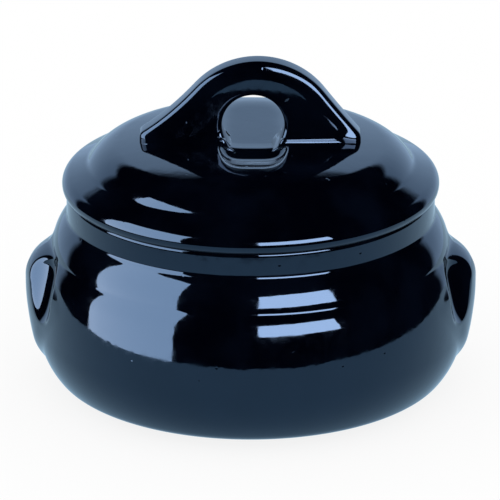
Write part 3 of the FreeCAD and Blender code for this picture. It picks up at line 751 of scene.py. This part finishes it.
@dataclass
class Grip:
    """The upright arch on the lid, with its round finger hole and the low ledge at its foot.

    Sizes in mm. Leans and slopes are in degrees.
    """

    top: float = 169.25
    offset: float = 3.5
    curve: float = 42.0
    left_tip: float = -55.2
    right_tip: float = 54.8
    left_end: float = 1.5
    right_end: float = 0.8
    ledge_top: float = 130.2
    ledge_half_width: float = 9.2
    ledge_taper: float = 0.24
    ledge_round: float = 0.9
    left_slope: float = 48.0
    right_slope: float = 52.5
    hole: tuple[float, float] = (1.2, 136.3)
    hole_radius: float = 15.5
    flat_half_width: float = 3.7
    section: list[Arc] = field(default_factory=lambda: [
        Arc(Bend.SWELL, 3.2, 33.0),
        Arc(Bend.SWELL, 3.6, 11.0),
        Arc(Bend.SWELL, 24.0, -3.5),
    ])
    inner_round: float = 2.2
    lean_depth: float = 18.0
    flare: float = 0.5
    flare_height: float = 2.6
    flare_depth: float = 4.0
    floor: float = 121.5
    tip_share: float = 0.12
    tip_shrink: float = 0.42
    hole_share: float = 0.035
    hole_shrink: float = 0.16
    softness: float = 1.1
    outline_points: int = 1300
    sweep: float = 152.0
    crowding: float = 0.09
    edge_steps: tuple[float, ...] = (0.0, 0.03, 0.12, 0.28, 0.5, 0.8, 1.2, 1.7, 2.3, 3.0, 3.9, 5.0)
    columns: int = 360

    def arch_line(self) -> Array:
        """The side outline from the right foot over the top to the left foot, as rows of x and z."""
        centre = np.array([self.offset, self.top - self.curve])
        angles = np.radians(np.linspace(90.0 - self.right_slope, 90.0 + self.left_slope, 200))
        arch = centre + self.curve * np.stack([np.cos(angles), np.sin(angles)], axis=1)
        right_end = (self.right_tip, self.ledge_top + self.right_end)
        left_end = (self.left_tip, self.ledge_top + self.left_end)
        right = self.flank(arch[0], right_end, -math.tan(math.radians(self.right_slope)))
        left = self.flank(arch[-1], left_end, math.tan(math.radians(self.left_slope)))
        right_foot = straight(np.array([self.right_tip, self.floor]), right_end, 0.3)
        left_foot = straight(np.array(left_end), (self.left_tip, self.floor), 0.3)
        line = np.concatenate([right_foot, right[::-1][1:], arch, left[1:], left_foot])
        return respaced(line, self.outline_points, self.softness)

    def flank(self, head: Array, end: tuple[float, float], slope: float) -> Array:
        """A flank from the arch down to its end: a parabola in x that leaves at the arch's slope."""
        share = np.linspace(0.0, 1.0, 120)
        run = end[0] - head[0]
        bow = end[1] - head[1] - slope * run
        return np.stack([head[0] + run * share, head[1] + slope * run * share + bow * share ** 2], axis=1)

    def build(self) -> bpy.types.Object:
        """Make the arch as loops round it, one at each direction from the hole's middle.

        A loop runs from the outer edge down the front face, through the hole and up the back.

        Returns:
            The new object.
        """
        middle = np.array(self.hole)
        arch = self.arch_line()
        floor = straight(arch[-1], (self.hole[0] - 3.0, self.floor), 0.5)
        floor_right = straight(np.array([self.hole[0] + 3.0, self.floor]), tuple(arch[0]), 0.5)[:-1]
        line = np.concatenate([floor_right, arch, floor])
        bearing = np.degrees(np.arctan2(line[:, 1] - middle[1], line[:, 0] - middle[0]))
        bearing = np.where(bearing < -90.0, bearing + 360.0, bearing)
        order = np.argsort(bearing)
        even = np.linspace(-1.0, 1.0, self.columns)
        angles = 90.0 + self.sweep * (even + self.crowding * np.sin(2.0 * math.pi * even))
        reach = np.interp(angles, bearing[order], np.linalg.norm(line - middle, axis=1)[order])
        heading = np.radians(angles)
        compass = np.stack([np.cos(heading), np.sin(heading)], axis=1)
        outer = middle + compass * reach[:, None]
        length = (reach - self.hole_radius)[:, None]
        near = np.array(self.edge_steps)[None, :]
        quarter = np.radians(np.linspace(90.0, 0.0, 8))[None, :]
        inner_room = np.minimum(self.inner_round, 0.4 * length)
        last = length - inner_room * (1.0 - np.cos(quarter))
        last[:, -1:] = length
        near = near * np.minimum(1.0, 0.5 * (length - inner_room) / near[0, -1])
        share = np.linspace(0.0, 1.0, 16)[None, 1:-1]
        between = near[:, -1:] + (last[:, :1] - near[:, -1:]) * share
        steps = np.concatenate([near, between, last], axis=1)
        spot = outer[:, None, :] - compass[:, None, :] * steps[..., None]
        half = self.half_thickness(spot, arch, length - steps)
        front = np.stack([spot[..., 0], -half, spot[..., 1]], axis=-1)
        back = np.stack([spot[..., 0], half, spot[..., 1]], axis=-1)[:, ::-1]
        return tube_object("lid_grip", np.concatenate([front, back], axis=1))

    def half_thickness(self, spot: Array, arch: Array, to_hole: Array) -> Array:
        """Half the arch's thickness at places in its side view.

        Args:
            spot: the places, as x and z.
            arch: the outline that the faces round into.
            to_hole: distance of each place from the hole's wall.

        Returns:
            The half thickness in mm: the section's at that depth from the outline, thinner with more depth
            below that, widened just above the ledge, and rounded off into the hole.
        """
        flat = spot.reshape(-1, 2)
        gaps = flat[:, None, :].astype(np.float32) - arch[None, :, :].astype(np.float32)
        nearest = (gaps ** 2).sum(axis=-1).argmin(axis=1)
        before = arch[np.maximum(nearest - 1, 0)]
        after = arch[np.minimum(nearest + 1, len(arch) - 1)]
        away = [distance_to_segment(flat, arch[nearest], other) for other in (before, after)]
        depth = np.minimum(*away).reshape(spot.shape[:-1])
        section = arc_profile((self.flat_half_width, 0.0), 90.0, self.section, 0.05)
        half = np.interp(depth, -section[:, 1], section[:, 0])
        lean = math.tan(math.radians(-self.section[-1].lean))
        half = half - lean * np.clip(depth + section[-1][1], 0.0, self.lean_depth + section[-1][1])
        above = np.maximum(spot[..., 1] - self.ledge_top, 0.0)
        flare = self.flare * np.exp(-(above / self.flare_height) ** 1.3)
        half = half + flare * smooth_step(depth, 0.0, self.flare_depth)
        inner = np.clip(to_hole, 0.0, self.inner_round)
        arc = np.sqrt(np.maximum(self.inner_round ** 2 - (self.inner_round - inner) ** 2, 0.0))
        return half - (self.inner_round - arc)

    def ledge(self, name: str, tip: float, side: float) -> bpy.types.Object:
        """Half of the ledge, from one tip to the finger hole.

        A cross-section is carried along X. It narrows towards the tip, and it is rounded off at both ends
        by the quarter circle 1 - sqrt(1 - (1 - u)^2), with u the share of the way from that end.

        Args:
            name: name of the piece.
            tip: where its outer end is along X.
            side: 1 for the right half and -1 for the left one.

        Returns:
            The new object.
        """
        turn = np.radians(np.linspace(0.0, 90.0, 6))
        edge = self.ledge_half_width - self.ledge_round
        top_edge = np.stack([edge + self.ledge_round * np.sin(turn),
                             self.ledge_top - self.ledge_round * (1.0 - np.cos(turn))], axis=1)
        toe_steps = [(0.05, 128.6), (0.25, 127.9), (0.8, 127.2), (1.9, 126.5), (1.9, self.floor)]
        toe = np.array(toe_steps) + np.array([self.ledge_half_width, 0.0])
        half = np.concatenate([np.array([(edge * 0.5, self.ledge_top)]), top_edge, toe])
        section = np.concatenate([half, half[::-1] * np.array([-1.0, 1.0])])
        tip_end, hole_end = self.tip_share, 1.0 - self.hole_share
        share = np.concatenate([
            tip_end * (1.0 - np.cos(np.radians(np.linspace(0.0, 90.0, 14)))),
            np.linspace(tip_end, hole_end, 16)[1:-1],
            1.0 - self.hole_share * (1.0 - np.cos(np.radians(np.linspace(90.0, 0.0, 8)))),
        ])
        from_tip = np.clip(share / self.tip_share, 0.0, 1.0)
        from_hole = np.clip((1.0 - share) / self.hole_share, 0.0, 1.0)
        shrink = 1.0 - self.tip_shrink * (1.0 - np.sqrt(1.0 - (1.0 - from_tip) ** 2))
        shrink = (shrink - self.hole_shrink * (1.0 - np.sqrt(1.0 - (1.0 - from_hole) ** 2)))[:, None]
        y = section[:, 0] * shrink * (1.0 - self.ledge_taper * (1.0 - share))[:, None]
        z = self.floor + (section[:, 1] - self.floor) * shrink
        chord = np.sqrt(np.maximum(self.hole_radius ** 2 - (z - self.hole[1]) ** 2, 0.0))
        x = tip + (self.hole[0] + side * chord - tip) * share[:, None]
        return tube_object(name, np.stack([x, y, z], axis=-1))


def distance_to_segment(places: Array, start: Array, end: Array) -> Array:
    """Distance of each place from its own straight segment.

    Args:
        places: rows of two coordinates.
        start: one end of each place's segment.
        end: its other end.

    Returns:
        One distance a row.
    """
    along = end - start
    share = ((places - start) * along).sum(axis=-1) / np.maximum((along ** 2).sum(axis=-1), 1e-9)
    return np.linalg.norm(places - start - along * np.clip(share, 0.0, 1.0)[:, None], axis=-1)


def tube_object(name: str, grid: Array) -> bpy.types.Object:
    """Close a tube of loops with a cap at each end and make it an object.

    Args:
        name: name of the piece.
        grid: loops, points of a loop and x, y, z.

    Returns:
        The new object.
    """
    return ring_object(name, grid, grid[0].mean(axis=0), grid[-1].mean(axis=0))


@dataclass
class Studio:
    """The floor, the lamps, the surroundings and the camera. Lengths in metres, angles in degrees."""

    elevation: float = 20.8
    distance: float = 3.0
    target: tuple[float, float, float] = (0.0, 0.0, 0.08)
    pixels_per_metre: float = 2000.0
    image_size: float = 500.0
    image_centre: tuple[float, float] = (250.7, 227.2)
    sensor: float = 36.0
    table_reach: float = 0.35
    table_length: float = 4.0
    table_glow: float = 0.86
    table_shade: float = 0.14
    bounce: tuple[float, float, float] = (0.40, 0.66, 0.90)
    backdrop: tuple[float, float, float] = (0.60, 0.86, 1.22)
    backdrop_from: tuple[float, float] = (0.56, 0.66)
    backdrop_to: tuple[float, float] = (0.48, 0.54)
    lamp_distance: float = 3.0
    lamp_base: float = 0.07

    def camera(self) -> None:
        """Place the camera at the photo's angle, with the shift that its framing needs."""
        made = bpy.data.cameras.new("camera")
        focal_pixels = self.pixels_per_metre * self.distance
        made.lens = focal_pixels / self.image_size * self.sensor
        made.sensor_width = self.sensor
        made.shift_x = (self.image_size / 2.0 - self.image_centre[0]) / self.image_size
        made.shift_y = (self.image_centre[1] - self.image_size / 2.0) / self.image_size
        camera = bpy.data.objects.new("camera", made)
        lift = math.radians(self.elevation)
        x, y, z = self.target
        camera.location = (x, y - self.distance * math.cos(lift), z + self.distance * math.sin(lift))
        camera.rotation_euler = (math.radians(90.0) - lift, 0.0, 0.0)
        bpy.context.scene.collection.objects.link(camera)
        bpy.context.scene.camera = camera
        bpy.context.scene.view_settings.view_transform = "Standard"

    def floor(self) -> None:
        """A plain white table top with a round front edge, which runs far back behind the pot."""
        turn = np.linspace(math.pi, 2.0 * math.pi, 97)
        reach = self.table_reach
        rim = [(reach * math.cos(angle), reach * math.sin(angle), 0.0) for angle in turn]
        rim += [(reach, self.table_length, 0.0), (-reach, self.table_length, 0.0)]
        mesh = bpy.data.meshes.new("table_top")
        mesh.from_pydata(rim, [], [tuple(range(len(rim)))])
        made = bpy.data.objects.new("table_top", mesh)
        bpy.context.scene.collection.objects.link(made)
        material, tree, shader = new_material("table_white")
        shader.inputs["Base Color"].default_value = (0.8, 0.8, 0.8, 1.0)
        shader.inputs["Roughness"].default_value = 0.9
        shader.inputs["Specular IOR Level"].default_value = 0.1
        glow = tree.nodes.new("ShaderNodeEmission")
        glow.inputs["Strength"].default_value = self.table_glow
        path = tree.nodes.new("ShaderNodeLightPath")
        tint = mix_colour(tree, path.outputs["Is Glossy Ray"], (1.0, 1.0, 1.0), self.bounce)
        tree.links.new(tint, glow.inputs["Color"])
        seen = math_node(tree, "MAXIMUM", path.outputs["Is Camera Ray"], path.outputs["Is Glossy Ray"])
        seen = math_node(tree, "MAXIMUM", seen, path.outputs["Is Transmission Ray"])
        dim = tree.nodes.new("ShaderNodeBsdfDiffuse")
        dim.inputs["Color"].default_value = (*[self.table_shade] * 3, 1.0)
        both = tree.nodes.new("ShaderNodeAddShader")
        tree.links.new(glow.outputs[0], both.inputs[0])
        tree.links.new(dim.outputs[0], both.inputs[1])
        mixed = tree.nodes.new("ShaderNodeMixShader")
        tree.links.new(seen, mixed.inputs[0])
        tree.links.new(shader.outputs[0], mixed.inputs[1])
        tree.links.new(both.outputs[0], mixed.inputs[2])
        tree.links.new(mixed.outputs[0], tree.nodes["Material Output"].inputs["Surface"])
        mesh.materials.append(material)

    def surroundings(self) -> None:
        """White surroundings; what the glaze mirrors of them is only a low white backdrop behind the pot."""
        world = bpy.data.worlds.new("studio")
        bpy.context.scene.world = world
        world.use_nodes = True
        tree = world.node_tree
        sky = tree.nodes["Background"]
        direction = tree.nodes.new("ShaderNodeTexCoord").outputs["Generated"]
        split = tree.nodes.new("ShaderNodeSeparateXYZ")
        tree.links.new(direction, split.inputs[0])
        behind = ramp(tree, split.outputs["Y"], *self.backdrop_from)
        high = ramp(tree, split.outputs["Z"], *self.backdrop_to)
        backdrop = math_node(tree, "MULTIPLY", behind, math_node(tree, "SUBTRACT", 1.0, high))
        path = tree.nodes.new("ShaderNodeLightPath")
        glossy = path.outputs["Is Glossy Ray"]
        dark = math_node(tree, "MULTIPLY", glossy, math_node(tree, "SUBTRACT", 1.0, backdrop))
        tree.links.new(math_node(tree, "SUBTRACT", 1.0, dark), sky.inputs["Strength"])
        tree.links.new(mix_colour(tree, glossy, (1.0, 1.0, 1.0), self.backdrop), sky.inputs["Color"])

    def panel(self, name: str, azimuth: tuple[float, float], height: tuple[float, float],
              colour: tuple[float, float, float]) -> None:
        """A flat upright lamp, whose mirror image the glaze shows.

        Args:
            name: name of the lamp.
            azimuth: its two side edges, in degrees to the right of the front.
            height: its lower and upper edge at its middle, in degrees above the horizon.
            colour: what it renders as when it is seen directly, with white as 1.
        """
        distance = self.lamp_distance
        turn = math.radians(sum(azimuth) / 2.0)
        low, high = (distance * math.tan(math.radians(angle)) for angle in height)
        lamp = bpy.data.lights.new(name, "AREA")
        lamp.shape = "RECTANGLE"
        lamp.size = 2.0 * distance * math.tan(math.radians(azimuth[1] - azimuth[0]) / 2.0)
        lamp.size_y = high - low
        lamp.energy = math.pi * lamp.size * lamp.size_y
        lamp.color = colour
        made = bpy.data.objects.new(name, lamp)
        middle = self.lamp_base + (low + high) / 2.0
        made.location = (distance * math.sin(turn), -distance * math.cos(turn), middle)
        made.rotation_euler = (math.radians(90.0), 0.0, turn)
        made.visible_camera = False
        made.visible_diffuse = False
        bpy.context.scene.collection.objects.link(made)

    def build(self) -> None:
        """Set everything up."""
        self.camera()
        self.floor()
        self.surroundings()
        self.panel("left_window", (-95.5, -41.0), (-14.0, 47.5), (5.3, 5.9, 7.0))
        self.panel("right_bar", (4.4, 48.0), (2.0, 28.5), (11.2, 11.6, 13.6))


def main() -> None:
    """Build the pot, the lid and the studio."""
    logging.basicConfig(level=logging.INFO)
    glaze = Glaze().material()
    pot = PotBody().build()
    lid = LidDome().build()
    arch = Grip()
    grip = arch.build()
    right_ledge = arch.ledge("lid_ledge_right", arch.right_tip, 1.0)
    left_ledge = arch.ledge("lid_ledge_left", arch.left_tip, -1.0)
    lid_pieces = (lid, grip, right_ledge, left_ledge)
    for piece, node in ((pot, "pot"), *((piece, "lid") for piece in lid_pieces)):
        piece.data.materials.append(glaze)
        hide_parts(node)
        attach(piece, node)
        LOG.info("%s: %d points", piece.name, len(piece.data.vertices))
    Studio().build()


if __name__ == "__main__":
    main()
